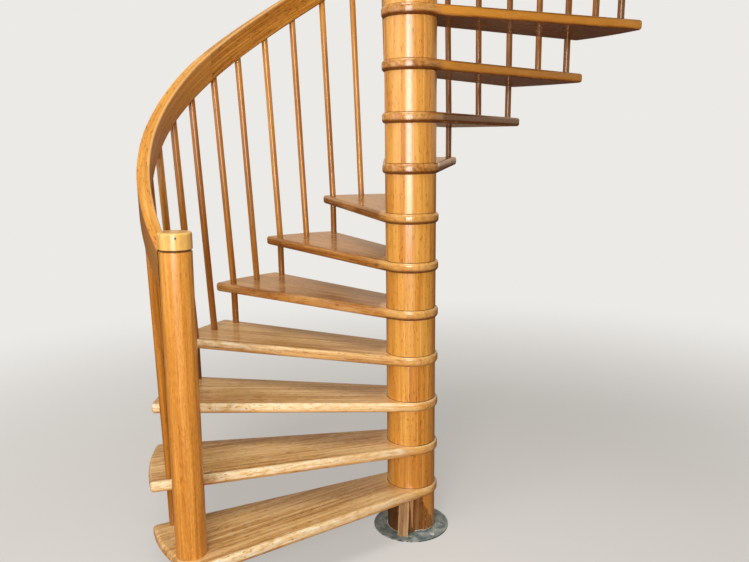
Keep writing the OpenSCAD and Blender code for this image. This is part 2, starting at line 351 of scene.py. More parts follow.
def wood_figure(paint, place, tone, bands=0.5, streaks=0.35, pores=0.12):
    """Light and dark of a board from 0 to 1, and the fine fibres alone."""
    across, through = paint.split(place)[1:]
    sway = paint.noise(place, (0.9, 7.0, 7.0), detail=2.0)
    rings = across * 34.0 + through * 20.0 + sway * 4.0 + tone * 9.0
    late = paint.step(maths("PINGPONG", rings, 0.5), 0.0, 0.4)
    broad = paint.noise(place, (1.2, 24.0, 24.0), shift=(3.0, 0.0, 0.0))
    narrow = paint.noise(place, (2.2, 95.0, 95.0), detail=4.0, roughness=0.6)
    fibres = paint.noise(place, (9.0, 360.0, 360.0), roughness=0.6)
    dashes = paint.noise(place, (36.0, 230.0, 230.0), detail=2.0, roughness=0.5)
    dashes = paint.step(dashes, 0.60, 0.68)
    figure = (0.5 + (broad - 0.5) * bands + (narrow - 0.5) * streaks + (fibres - 0.5) * 0.3
              + (late - 0.5) * 0.1 - dashes * pores)
    return figure, fibres


def boards(paint, place, width, length):
    """Tone from 0 to 1 of each lamella, and a mask of the glue lines between them."""
    along, across = paint.split(place)[:2]
    lane = across / width
    lane_no = maths("FLOOR", lane)
    run = along / length + paint.dice(lane_no) * 3.0
    run_no = maths("FLOOR", run)
    tone = paint.dice(lane_no, run_no)
    side = maths("PINGPONG", lane, 0.5) * width
    end = maths("PINGPONG", run, 0.5) * length
    line = paint.step(maths("MINIMUM", side, end), GLUE_LINE, 0.0)
    return tone, line


# %% [markdown]
# Bringing a mesh into the stair
# Each piece is shaped in a bmesh, in its place, and becomes an object at the origin. It rides
# on the stair's only body, and replaces the plain solid that holds its place. Each point then
# learns where it lies in its board, with a shift of its own so that no two pieces look alike.

# %% From bmesh to piece
SMOOTH_ANGLE = math.radians(40)
WANDER = 9.0


def make_piece(name, bm, finish, nodes=(), to_board=None, spots=None,
               smooth_angle=SMOOTH_ANGLE):
    """Makes a closed bmesh a piece of the stair, in place of the named nodes."""
    bmesh.ops.remove_doubles(bm, verts=bm.verts, dist=0.00001)
    bmesh.ops.recalc_face_normals(bm, faces=bm.faces)
    mesh = bpy.data.meshes.new(name)
    bm.to_mesh(mesh)
    bm.free()
    mesh.materials.append(finish)
    mesh.shade_smooth()
    mesh.set_sharp_from_angle(angle=smooth_angle)
    piece = bpy.data.objects.new(name, mesh)
    bpy.context.collection.objects.link(piece)
    even = piece.modifiers.new("even_shading", "WEIGHTED_NORMAL")
    even.keep_sharp = True
    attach(piece, "root")
    if nodes:
        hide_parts(*nodes)
    if to_board:
        add_grain(piece, to_board)
    if spots:
        add_spots(piece, spots)
    return piece


# %% What each point carries
def add_spots(piece, values, name="spot"):
    """Stores three numbers a point under a name; values works them out from the point."""
    spot = piece.data.attributes.new(name, "FLOAT_VECTOR", "POINT")
    for point, value in zip(piece.data.vertices, spot.data):
        value.vector = values(point.co)


def add_grain(piece, to_board):
    """Stores each point's place in its board, shifted by a dice that the piece's name seeds."""
    dice = random.Random(piece.name)
    shift = Vector([dice.uniform(0.0, WANDER) for axis in range(3)])
    add_spots(piece, lambda point: to_board @ point + shift, "grain")


# %% Placing and carving
def placed(bm, matrix):
    """Moves a whole bmesh to its place."""
    bmesh.ops.transform(bm, matrix=matrix, verts=bm.verts)
    return bm


def carved(bm, cutter):
    """Cuts one closed bmesh out of another with a Boolean and returns what is left."""
    solids = []
    for name, part in (("stock", bm), ("cutter", cutter)):
        mesh = bpy.data.meshes.new(name)
        bmesh.ops.recalc_face_normals(part, faces=part.faces)
        part.to_mesh(mesh)
        part.free()
        solid = bpy.data.objects.new(name, mesh)
        bpy.context.collection.objects.link(solid)
        solids.append(solid)
    stock, tool = solids
    cut = stock.modifiers.new("cut", "BOOLEAN")
    cut.operation = "DIFFERENCE"
    cut.solver = "EXACT"
    cut.object = tool
    bpy.context.view_layer.update()
    result = bmesh.new()
    result.from_object(stock, bpy.context.evaluated_depsgraph_get())
    for solid in solids:
        mesh = solid.data
        bpy.data.objects.remove(solid)
        bpy.data.meshes.remove(mesh)
    return result


# %% [markdown]
# Round stock
# Drums, balusters and the newel are all turned. A turned piece is a profile spun about its
# axis, as on a lathe: a few vertices joined by edges, one full spin that merges its seam, and
# normals recalculated, because a spin can turn a shape inside out.

# %% Turning
LEVEL = 1e-6


def turned(profile, steps):
    """Spins a profile of (radius, height) points about an upright axis."""
    bm = bmesh.new()
    points = [bm.verts.new((radius, 0.0, height)) for radius, height in profile]
    for low, high in zip(points, points[1:]):
        bm.edges.new((low, high))
    bmesh.ops.spin(bm, geom=bm.verts[:] + bm.edges[:], cent=(0, 0, 0), axis=(0, 0, 1),
                   angle=math.tau, steps=steps, use_merge=True)
    bmesh.ops.remove_doubles(bm, verts=bm.verts, dist=0.00001)
    bmesh.ops.recalc_face_normals(bm, faces=bm.faces)
    return bm


def rounding(radius, height, edge, top, steps=4):
    """Points of a quarter round: the rim of a cap, up from its side or down from its top."""
    points = []
    for i in range(steps + 1):
        turn = math.radians(90 * i / steps)
        points.append((radius - edge + edge * math.cos(turn),
                       height + edge * math.sin(turn) * (1 if top else -1)))
    return points if top else points[::-1]


def climb_of(edge):
    """The difference in height between an edge's ends."""
    return abs(edge.verts[0].co.z - edge.verts[1].co.z)


def only(kind, items):
    """The vertices, or the edges, among what an operator gives back."""
    return [item for item in items if isinstance(item, kind)]


def ease(bm, edges, offset, segments=3):
    """Rounds edges with the bevel's plain settings."""
    bmesh.ops.bevel(bm, geom=edges, offset=offset, affect="EDGES", segments=segments,
                    profile=0.5, material=-1, clamp_overlap=True)


# %% [markdown]
# Varnish on the column
# The drums look coopered: staves of about 50 mm, each with its own tone, and thin pale lines
# between them. The honey varnish is thick and shines. The staves follow the angle round the
# column, so they are drawn from Object coordinates, while the fibres run up the grain.

# %% Material of the drums
STAVES = 13


def drum_finish():
    paint = Paint("honey_drum")
    place = paint.place()
    x, y, z = paint.split(paint.here())
    turn = maths("ARCTAN2", y, x) / math.tau
    level = (z - first_rise) / rise
    level = maths("MINIMUM", maths("FLOOR", level), TREADS - 1.0)
    wobble = maths("SINE", turn * (3 * math.tau) + level * 2.3) * 0.28
    lane = turn * STAVES + wobble + paint.dice(level) * STAVES
    stave = maths("FLOOR", lane)
    stave = maths("FLOORED_MODULO", stave, float(STAVES))
    tone = paint.dice(stave, level)
    edge = maths("PINGPONG", lane, 0.5)
    seam = paint.step(edge, 0.045, 0.0)
    figure, fibres = wood_figure(paint, place, tone, bands=0.3, streaks=0.3, pores=0.26)
    resin = paint.step(paint.noise(place, (2.6, 46.0, 46.0), detail=2.0), 0.72, 0.78)
    light = figure + (tone - 0.5) * 0.16
    colour = paint.ramp(light, [
        (0.12, 150, 86, 18), (0.36, 206, 132, 40), (0.55, 230, 163, 64), (0.82, 248, 200, 108)])
    # Painted shade: the lowest drums get darker towards the foot of the column.
    low = paint.step(z, first_rise + 2 * rise, first_rise)
    colour = paint.coats(
        colour, (seam * 0.4, 252, 214, 136), (resin * 0.35, 134, 76, 24), (low * 0.3, 170, 100, 34))
    return paint.surface({
        "Base Color": colour, "Roughness": 0.30 + fibres * 0.20, "Specular IOR Level": 0.5,
        "Coat Weight": 1.0, "Coat Roughness": 0.22,
    }, height=fibres * 0.5 - seam * 0.6, depth=0.0005, strength=0.3)


drum_wood = drum_finish()
print("staves", STAVES, "of", round(math.tau * drum_r / STAVES * 1000), "mm")

# %% [markdown]
# Drums
# Between two treads the column is a hollow wooden drum, which the steel post threads. Its edges
# are eased by a file stroke, so a fine dark line shows at each collar. We turn the
# tube's profile and bevel its rims. All drums between treads are one mesh of closed solids.

# %% Column
DRUM_SIDES = 128
DRUM_EASE = 0.0015
POST_GAP = 0.0005
post_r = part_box("centre_post")[1].x


def drum(z_low, z_high, radius=drum_r):
    """A hollow drum from one height to another."""
    bore = post_r + POST_GAP
    bm = turned([(bore, z_low), (radius, z_low), (radius, z_high), (bore, z_high),
                 (bore, z_low)], DRUM_SIDES)
    rims = [edge for edge in bm.edges
            if climb_of(edge) < LEVEL
            and all(vert.co.xy.length > radius - DRUM_EASE for vert in edge.verts)]
    ease(bm, rims, DRUM_EASE)
    return bm


def joined(parts):
    """Puts several bmeshes into one."""
    whole = bmesh.new()
    for part in parts:
        mesh = bpy.data.meshes.new("part")
        part.to_mesh(mesh)
        part.free()
        whole.from_mesh(mesh)
        bpy.data.meshes.remove(mesh)
    return whole


UPRIGHT = Matrix(((0, 0, 1), (1, 0, 0), (0, 1, 0))).to_4x4()

column = make_piece(
    "column_drums",
    joined([drum(tread_top(k), tread_top(k + 1) - tread_t) for k in range(1, TREADS)]),
    drum_wood, ["drums"], UPRIGHT)
make_piece("column_top_drum", drum(tread_top(TREADS), column_top), drum_wood,
           ["top_drum"], UPRIGHT)
print("drum faces", len(column.data.polygons))

# %% [markdown]
# Treads
# A tread is a wedge that ends in a collar round the column. Its outline is swept: a vertex is
# spun about the column and about the corners' centres. The first tread is special, because its
# front corner is wide and is drawn in round the newel's foot. The face is pulled up to its
# thickness and a bevel rounds both rims. The boards run along the front edge.

# %% Corners of a tread
collar_r = 0.113
nosing_r = 0.013
corner_r = 0.018
nosing_lap = 1.25
rear_lap = 1.45
first_corner_r = 0.130
first_corner_in = 0.022
OUTER_STEPS = 24
CORNER_STEPS = 8
COLLAR_STEPS = 40
RIM_SEGMENTS = 5


def swept(bm, vertex, centre, angle, steps):
    """Spins a vertex about an upright axis and returns the vertex where it ends."""
    made = bmesh.ops.spin(bm, geom=[vertex], cent=centre, axis=(0, 0, 1),
                          angle=math.radians(angle), steps=steps)
    return only(bmesh.types.BMVert, made["geom_last"])[0]


def tread_directions(k):
    """Azimuths of the straight front and rear edges of tread k."""
    reach = math.degrees(math.asin(collar_r / tread_r))
    front = rod_azimuth(2 * k - 2) + nosing_lap - reach
    rear = rod_azimuth(2 * k) - rear_lap + reach
    return front, rear


def corner_swing(radius, drawn_in):
    """Turn from a straight edge's azimuth to the middle of the corner that ends it."""
    return math.degrees(math.asin((collar_r - radius) / (tread_r - drawn_in - radius)))


# %% Blank of a tread
def tread_blank(k):
    """Tread k without its bores."""
    front_r, front_in = (first_corner_r, first_corner_in) if k == 1 else (corner_r, 0.0)
    front, rear = tread_directions(k)
    front_azimuth = front + corner_swing(front_r, front_in)
    rear_azimuth = rear - corner_swing(corner_r, 0.0)
    low = tread_top(k) - tread_t
    front_corner = polar(front_azimuth, tread_r - front_in - front_r, low)
    rear_corner = polar(rear_azimuth, tread_r - corner_r, low)
    outer_turn = rear_azimuth - front_azimuth
    flare = math.degrees(math.atan(2 * front_in / (tread_r * math.radians(-outer_turn))))
    bm = bmesh.new()
    start = bm.verts.new(polar(front + 90, collar_r, low))
    at = bm.verts.new(front_corner + polar(front + 90, front_r))
    bm.edges.new((start, at))
    at = swept(bm, at, front_corner, front_azimuth - front - 90 + flare, CORNER_STEPS)
    for i in range(1, OUTER_STEPS + 1):
        share = i / OUTER_STEPS
        radius = tread_r - front_in * (1 - share) ** 2
        following = bm.verts.new(polar(front_azimuth + outer_turn * share, radius, low))
        bm.edges.new((at, following))
        at = following
    at = swept(bm, at, rear_corner, rear - rear_azimuth - 90, CORNER_STEPS)
    back = bm.verts.new(polar(rear - 90, collar_r, low))
    bm.edges.new((at, back))
    swept(bm, back, (0, 0, 0), front - rear - 180, COLLAR_STEPS)
    bmesh.ops.remove_doubles(bm, verts=bm.verts, dist=0.0001)
    bmesh.ops.edgeloop_fill(bm, edges=bm.edges[:])
    slab = bmesh.ops.extrude_face_region(bm, geom=bm.faces[:])
    bmesh.ops.translate(bm, vec=(0, 0, tread_t), verts=only(bmesh.types.BMVert, slab["geom"]))
    bmesh.ops.recalc_face_normals(bm, faces=bm.faces)
    rims = [edge for edge in bm.edges if climb_of(edge) < LEVEL]
    ease(bm, rims, nosing_r, RIM_SEGMENTS)
    return bm


# %% [markdown]
# Balusters
# A baluster leans a little outwards and towards the foot of the stair. Each one stands in a
# socket of its tread and ends under the rail, cut to its slope. The feet of the lowest ones
# stand further out. A short upright dowel props each nosing on the tread below.

# %% Axes of the balusters
rod_r = 0.015
rod_first_out = 0.025
rod_in_line = 8
rod_lean_back = 1.4
socket_t = 0.015
fit_gap = 0.0003
ROD_SIDES = 32
BORE_SIDES = 48
SPARE = 0.1


def rods_on(k):
    """Numbers of the balusters that stand on tread k."""
    return ([2 * k - 2, 2 * k - 1] if k > 1 else []) + ([2 * TREADS] if k == TREADS else [])


def rod_base(j):
    """Height of the tread that baluster j stands on."""
    return tread_top(min(TREADS, 1 + j // 2))


def rod_foot_r(j):
    """Radius of baluster j's foot: the lowest ones stand further out."""
    return rod_circle_r + rod_first_out * max(0, rod_in_line - j) / (rod_in_line - 2)


def rod_frame(j):
    """The leaning axes of baluster j, with the origin on its tread."""
    slope = (rod_top_r - rod_foot_r(j)) / (rail_under(rod_azimuth(j)) - rod_base(j))
    return (turned_by(rod_azimuth(j))
            @ Matrix.Translation((rod_foot_r(j), 0, rod_base(j)))
            @ Matrix.Rotation(math.atan(slope), 4, "Y")
            @ turned_by(-rod_lean_back, "X"))


def spacer_frame(j):
    """Upright axes at the foot of baluster j, with the origin on the floor."""
    return Matrix.Translation(polar(rod_azimuth(j), rod_foot_r(j)))


# %% Bars and flat cuts
def bar(axes, radius, low, high, sides):
    """A round bar along the Z of its axes, between two lengths."""
    bm = bmesh.new()
    bmesh.ops.create_cone(bm, cap_ends=True, segments=sides, radius1=radius, radius2=radius,
                          depth=high - low)
    return placed(bm, axes @ Matrix.Translation((0, 0, (low + high) / 2)))


def cut_flat(bm, point, normal):
    """Cuts away what lies beyond a plane and closes the cut."""
    cut = bmesh.ops.bisect_plane(bm, geom=bm.verts[:] + bm.edges[:] + bm.faces[:],
                                 plane_co=point, plane_no=normal, clear_outer=True)
    bmesh.ops.edgeloop_fill(bm, edges=only(bmesh.types.BMEdge, cut["geom_cut"]))
    return bm


# %% Baluster and dowel
def rod_end(j):
    """Where baluster j's axis meets the underside of the rail."""
    axes = rod_frame(j)
    point = axes @ Vector((0, 0, rail_h))
    for attempt in range(4):
        azimuth = azimuth_of(point, rod_azimuth(j))
        gap = rail_under(azimuth) - point.z
        point += (axes.to_3x3() @ Vector((0, 0, 1))) * gap
    return point, azimuth


def baluster(j):
    """Baluster j, from its socket to the slope of the rail."""
    top, azimuth = rod_end(j)
    bm = bar(rod_frame(j), rod_r, -SPARE / 2, rail_h + rise + SPARE, ROD_SIDES)
    cut_flat(bm, (0, 0, rod_base(j) - socket_t), (0, 0, -1))
    climb = rail_under(azimuth - 1) - rail_under(azimuth + 1)
    slope = math.atan(climb / (math.radians(2) * rail_mid_r))
    cut_flat(bm, top - Vector((0, 0, fit_gap)),
             polar(azimuth - 90, -math.sin(slope), math.cos(slope)))
    return bm


def spacer(k):
    """The upright dowel under the nosing of tread k."""
    low = tread_top(k - 1) - socket_t
    high = tread_top(k) - tread_t + socket_t
    return bar(spacer_frame(2 * k - 2), rod_r, low, high, ROD_SIDES)


# %% [markdown]
# Varnish on the balusters
# The balusters are turned from straight sticks. Each has a tone of its own and painted shade where
# it enters its tread, and the varnish gives it a bright line on one side. The upper ones are browner.

# %% Material of the balusters
def rod_finish():
    paint = Paint("honey_rod")
    place = paint.place()
    share, number, height = paint.split(paint.place("spot"))
    tone = paint.dice(maths("ROUND", number))
    figure, fibres = wood_figure(paint, place, tone)
    light = figure + (tone - 0.5) * 0.18 + (share - 0.35) * 0.12
    colour = paint.ramp(light, [
        (0.15, 104, 54, 8), (0.38, 162, 98, 26), (0.60, 202, 134, 46), (0.85, 236, 180, 88)])
    # Painted shade where the stick enters its tread.
    foot = paint.step(height, 0.03, 0.0)
    upper = paint.step(number, 13.4, 14.6)
    colour = paint.coats(colour, (foot * 0.35, 118, 68, 24), (upper * 0.5, 112, 62, 24))
    return paint.surface({
        "Base Color": colour, "Roughness": 0.25 + fibres * 0.15, "Specular IOR Level": 0.25,
        "Coat Weight": 0.8, "Coat Roughness": 0.08,
    }, height=fibres, depth=0.0004, strength=0.3)


rod_wood = rod_finish()


# %% Balusters of each tread
FIRST_DOWEL = 5


def stick_spot(point, first, low):
    """How far up its stick a point lies, the number of the stick, and the height on it."""
    turn = rod_azimuth(first) - azimuth_of(point, rod_azimuth(first))
    number = first + round(turn / (step_angle / 2))
    return (point.z - low) / (rail_h + rise), number, point.z - low


def dowel_spot(point):
    """The number of the dowel that a point belongs to."""
    return 0.0, FIRST_DOWEL + round((start_azimuth - azimuth_of(point)) / step_angle), 0.0


for k in range(2, TREADS + 1):
    first = rods_on(k)[0]
    make_piece(f"rods_{k:02d}", joined([baluster(j) for j in rods_on(k)]), rod_wood,
               [f"balusters_{k:02d}"], UPRIGHT @ rod_frame(first).inverted(),
               lambda point: stick_spot(point, first, tread_top(k)))
make_piece("spacer_dowels", joined([spacer(k) for k in range(2, TREADS + 1)]), rod_wood,
           ["spacers"], UPRIGHT, dowel_spot)
print("balusters", 2 * TREADS - 1, "spacers", TREADS - 1)

# %% [markdown]
# Worn varnish on the treads
# The lowest treads carry most feet: their varnish is thin and pale, and the front edge is
# rubbed to bare wood with dents. Higher up the treads keep their brown. Each tread carries
# how far it is worn, and how far a point lies along its front edge and behind it. The height in
# the stair tells collars, sides and undersides apart.

# %% Zones of a tread
BOARD_W = 0.085
BOARD_L = 1.3
TOP_MARGIN = 0.01
BARE_LINE_IN = 0.024


def from_tread(paint, level, k):
    """A mask that is 1 from tread k upwards and 0 below it."""
    return paint.step(level, k - 1.9, k - 1.3)


def tread_zones(paint):
    """Masks that tell collars, sides, undersides and high treads apart, with the painted shade masks
    and the pale arc by the drum.
    """
    x, y, z = paint.split(paint.here())
    radius = from_axis(x, y)
    level = (z - first_rise) / rise
    below_cap = paint.step(z, column_top - 0.01, column_top - 0.02)
    depth = (maths("CEIL", level - TOP_MARGIN) - level) * rise * below_cap
    return SimpleNamespace(
        collar=paint.step(radius, collar_r + 0.03, collar_r),
        side=paint.step(depth, 0.002, 0.010) * paint.step(depth, 0.038, 0.032),
        upper=paint.step(depth, 0.036, 0.020),
        # Painted shade on the lower half of each rim; it darkens the collars' undersides.
        lower=paint.step(depth, 0.022, 0.036) * (0.3 + paint.step(level, 2.9, 3.8) * 0.6),
        # Painted shade on the underside of each tread.
        under=paint.step(depth, tread_t - 0.004, tread_t - 0.001),
        high=from_tread(paint, level, 8),
        ninth=from_tread(paint, level, 9),
        top_ones=from_tread(paint, level, 10),
        arc=paint.step(radius, drum_r + 0.0075, drum_r + 0.0055),
        # Painted shade: a dark ring where the drum stands on the tread.
        drum_seat_shade=paint.step(radius, drum_r + 0.0036, drum_r + 0.0022) * below_cap)


# %% Varnish of the treads
def tread_varnish(paint, zone, light, path):
    """Colour of the varnish, paler on the path of the feet, with painted shade under each tread and
    under the collars, and painted light and shade on the fronts of the high treads.
    """
    kept = paint.ramp(light, [
        (0.12, 96, 50, 14), (0.36, 152, 92, 34), (0.58, 190, 124, 52), (0.82, 220, 158, 82)])
    worn = paint.ramp(light, [
        (0.12, 134, 88, 40), (0.36, 196, 144, 80), (0.58, 230, 184, 118), (0.82, 250, 218, 160)])
    ring = paint.ramp((light - 0.5) * 0.5 + 0.55, [
        (0.2, 156, 92, 32), (0.5, 226, 164, 76), (0.8, 252, 212, 136)])
    colour = paint.mix(path, kept, worn)
    colour = paint.mix(zone.collar * (0.75 - zone.high * 0.5), colour, ring)
    # Painted light makes the fronts of the top treads golden; brown is painted shade on the fronts of
    # treads 8 and 9.
    flank = zone.side * (1.0 - zone.collar)
    brown = flank * zone.high * (1.0 - zone.top_ones) * (0.5 + zone.ninth * 0.4)
    return paint.coats(
        colour, (zone.collar * zone.lower, 100, 46, 6), (flank * zone.top_ones * 0.75, 232, 158, 52),
        (brown, 104, 60, 24), (zone.under * 0.65, 96, 48, 12))


# %% Wear of the front edge
def front_wear(paint, zone, place, rub):
    """How far the front edge is rubbed bare, its dents, and the line behind it."""
    reach, behind, wear = paint.split(paint.place("spot"))
    outer = paint.step(reach, 0.15, 1.0)
    front = paint.step(behind, 0.026, 0.008) * zone.upper * wear
    bare = front * (0.4 + outer * 0.5) * (1.0 - zone.collar * 0.5)
    bare = paint.step(bare + rub * 0.4, 0.44, 0.74)
    nicks = paint.noise(place, (60.0, 160.0, 160.0), detail=2.0)
    dents = paint.step(nicks, 0.62, 0.68) * front * (0.3 + outer * 0.7)
    strip = paint.step(maths("ABSOLUTE", behind - BARE_LINE_IN), 0.0018, 0.0006)
    return bare, dents, strip * paint.step(rub, 0.35, 0.55) * wear


# %% Material of the treads
def tread_finish():
    paint = Paint("tread_oak")
    place = paint.place()
    wear = paint.split(paint.place("spot"))[2]
    zone = tread_zones(paint)
    tone, line = boards(paint, place, BOARD_W, BOARD_L)
    figure, fibres = wood_figure(paint, place, tone, bands=0.55, streaks=0.9, pores=0.3)
    cloud = paint.noise(place, (2.4, 9.0, 9.0), detail=3.0)
    light = figure + (tone - 0.5) * 0.14 + (cloud - 0.5) * 0.25
    path = paint.step(cloud + wear * 0.9, 0.55, 1.0)
    colour = tread_varnish(paint, zone, light, path)
    rub = paint.noise(place, (6.0, 40.0, 40.0), detail=4.0)
    bare, dents, strip = front_wear(paint, zone, place, rub)
    chalk = paint.ramp(paint.noise(place, (26.0, 110.0, 110.0), detail=4.0), [
        (0.34, 226, 182, 116), (0.50, 250, 222, 168), (0.66, 255, 246, 220)])
    lines = maths("MAXIMUM", line * (1.0 - zone.side * 0.9), strip)
    scratch = paint.noise(place, (22.0, 170.0, 170.0), detail=2.0)
    scratch = paint.step(scratch, 0.60, 0.66) * wear
    # A pale arc beside the drum: wear on the worn treads, and a painted highlight on the collar's
    # edge.
    arc = zone.arc * (1.0 - zone.side) * wear
    colour = paint.coats(
        paint.mix(bare * 0.85, colour, chalk), (dents * 0.8, 100, 64, 34), (lines * 0.45, 96, 58, 26),
        (scratch * 0.55, 242, 222, 188), (arc * 0.6, 246, 212, 152), (zone.drum_seat_shade * 0.85, 70, 38, 14))
    coat = 0.4 + zone.collar * (0.6 - zone.lower * 0.6) - bare * 0.3 - zone.side * zone.high * 0.3
    return paint.surface({
        "Base Color": colour, "Roughness": 0.20 + fibres * 0.12 + path * 0.16 + bare * 0.15,
        "Specular IOR Level": 0.35, "Coat Weight": coat, "Coat Roughness": 0.12,
    }, height=fibres * 0.5 - dents - scratch * 0.4, depth=0.0008, strength=0.35)


tread_wood = tread_finish()

# %% Treads in place
WEAR = {1: 0.9, 2: 1.0, 3: 0.9, 4: 0.52, 5: 0.25, 6: 0.08}
LEAST_WEAR = 0.05


def tread_bores(k):
    """The bars that cut tread k's bore for the post and its sockets."""
    top, low = tread_top(k), tread_top(k) - tread_t
    socket_r = rod_r + fit_gap
    bars = [bar(Matrix.Translation((0, 0, top)), post_r + POST_GAP, -SPARE, SPARE, DRUM_SIDES)]
    bars += [bar(rod_frame(j), socket_r, -socket_t, SPARE, BORE_SIDES) for j in rods_on(k)]
    if k > 1:
        bars.append(bar(spacer_frame(2 * k - 2), socket_r, low - SPARE, low + socket_t, BORE_SIDES))
    if k < TREADS:
        bars.append(bar(spacer_frame(2 * k), socket_r, top - socket_t, top + SPARE, BORE_SIDES))
    return joined(bars)


def board_axes(k):
    """Along, across and through the boards of tread k: along its front edge, from the edge."""
    front = tread_directions(k)[0]
    along, across = polar(front, 1.0), polar(front - 90, 1.0)
    turn = Matrix((along, across, (0, 0, 1))).to_4x4()
    return Matrix.Translation((0, collar_r, -tread_top(k))) @ turn


for k in range(1, TREADS + 1):
    axes = board_axes(k)
    piece = make_piece(
        f"wedge_tread_{k:02d}", carved(tread_blank(k), tread_bores(k)), tread_wood,
        [f"tread_{k:02d}"], axes,
        lambda point: (*(axes @ point).xy, WEAR.get(k, LEAST_WEAR)))
print("treads", TREADS, "faces", len(piece.data.polygons))

# %% [markdown]
# Newel
# The newel is a thick turned post that stands on the first tread and leans a little. Its cap
# is parted from the shaft by a turned groove, has a rounded rim, a fine ring on top and a small
# plug hole in its side. Shaft and cap are two spun profiles on the same leaning axis. The wood
# carries its distance from that axis and its height, so ring, groove and plug hole get painted shade.

# %% Material of the newel
newel_cap_t = 0.060
RING_R = 0.036
PLUG_R = 0.0030


def newel_finish():
    paint = Paint("honey_newel")
    place = paint.place()
    out, up, from_plug = paint.split(paint.place("spot"))
    figure, fibres = wood_figure(paint, place, paint.dice(7.0), bands=0.35, streaks=0.6, pores=0.14)
    flecks = paint.noise(place, (55.0, 190.0, 190.0), detail=2.0)
    light = figure + (up + 0.5) * 0.12 + (flecks - 0.5) * 0.35
    colour = paint.ramp(light, [
        (0.12, 142, 80, 18), (0.36, 200, 128, 42), (0.58, 226, 156, 64), (0.84, 246, 196, 108)])
    cap = paint.step(up, -0.002, 0.002)
    pale = paint.ramp(light, [(0.3, 222, 160, 66), (0.7, 250, 214, 124)])
    colour = paint.mix(cap * 0.7, colour, pale)
    # Painted shade in the ring on top, in the groove under the cap and in the plug hole.
    ring = paint.step(maths("ABSOLUTE", out - RING_R), 0.0030, 0.0012)
    ring = ring * paint.step(up, newel_cap_t - 0.003, newel_cap_t - 0.001)
    groove = paint.step(maths("ABSOLUTE", up), 0.0052, 0.003)
    dark = maths("MAXIMUM", ring * 0.7, groove)
    plug = paint.step(from_plug, PLUG_R * 1.5, PLUG_R * 1.05)
    colour = paint.coats(colour, (dark * 0.85, 92, 50, 16), (plug, 58, 60, 62))
    return paint.surface({
        "Base Color": colour, "Roughness": 0.28 + fibres * 0.18, "Specular IOR Level": 0.45,
        "Coat Weight": 0.8, "Coat Roughness": 0.18,
    }, height=fibres + flecks * 0.4, depth=0.0006, strength=0.3)


newel_wood = newel_finish()

# %% Newel post and cap
newel_r = 0.0555
newel_circle_r = tread_r - 0.084
newel_lean_in = 0.9
newel_lean_back = 0.3
newel_top = 1.384
newel_cap_over = 0.0015
NEWEL_SIDES = 96
CAP_ROUND = 0.008
GROOVE = 0.004
RING_T = 0.0008
RING_W = 0.002
PLUG_TURN = -70.0
PLUG_UP = 0.72

newel_axes = (
    Matrix.Translation(polar(start_azimuth - newel_back, newel_circle_r, tread_top(1)))
    @ turned_by(start_azimuth - newel_back)
    @ turned_by(-newel_lean_in, "Y")
    @ turned_by(-newel_lean_back, "X"))
shaft_h = newel_top - newel_cap_t - tread_top(1)
shaft_low = -newel_r / 5

shaft = placed(turned([
    (0.0, shaft_low), (newel_r, shaft_low), (newel_r, shaft_h - GROOVE),
    (newel_r - GROOVE, shaft_h), (0.0, shaft_h)], NEWEL_SIDES), newel_axes)
cut_flat(shaft, (0, 0, tread_top(1)), (0, 0, -1))
cap_axes = newel_axes @ Matrix.Translation((0, 0, shaft_h))
cap_rim = newel_r + newel_cap_over
plug_axes = (turned_by(PLUG_TURN - start_azimuth + newel_back)
             @ Matrix.Translation((cap_rim, 0, newel_cap_t * PLUG_UP)))


def turned_spot(point):
    """A point's distance from the newel's axis, height above the cap's foot, way to the plug."""
    local = cap_axes.inverted() @ point
    from_plug = plug_axes.inverted() @ local
    return local.xy.length, local.z, from_plug.yz.length - min(0.0, from_plug.x + newel_r)


newel_grain = UPRIGHT @ newel_axes.inverted()
make_piece("newel_shaft", shaft, newel_wood, ["newel_post"], newel_grain,
           turned_spot)
cap = turned(
    [(0.0, 0.0), (newel_r - GROOVE, 0.0), (cap_rim, GROOVE)]
    + rounding(cap_rim, newel_cap_t - CAP_ROUND, CAP_ROUND, True, 6)
    + [(RING_R + RING_W, newel_cap_t), (RING_R, newel_cap_t - RING_T),
       (RING_R - RING_W, newel_cap_t), (0.0, newel_cap_t)], NEWEL_SIDES)
plug = bar(plug_axes @ turned_by(90, "Y"), PLUG_R, -0.004, 0.01, 24)
make_piece("newel_cap_turned", placed(carved(cap, plug), cap_axes), newel_wood,
           ["newel_cap"], newel_grain, turned_spot)
print("newel", round(shaft_h + newel_cap_t, 3), "m tall")

# %% [markdown]
# Handrail
# The rail is a helix of glued strips, joined from six lengths. Its section is a rectangle with
# eased corners. We draw that section once at the start of a length and spin it about the column
# with a rise at each step, which is a helix. Its points are then set to the rail's own height
# and depth there. The tone changes at each glue joint, and the strips show as lines that follow
# the run.

# %% Material of the handrail
rail_w = 0.047
STRIP_T = 0.012


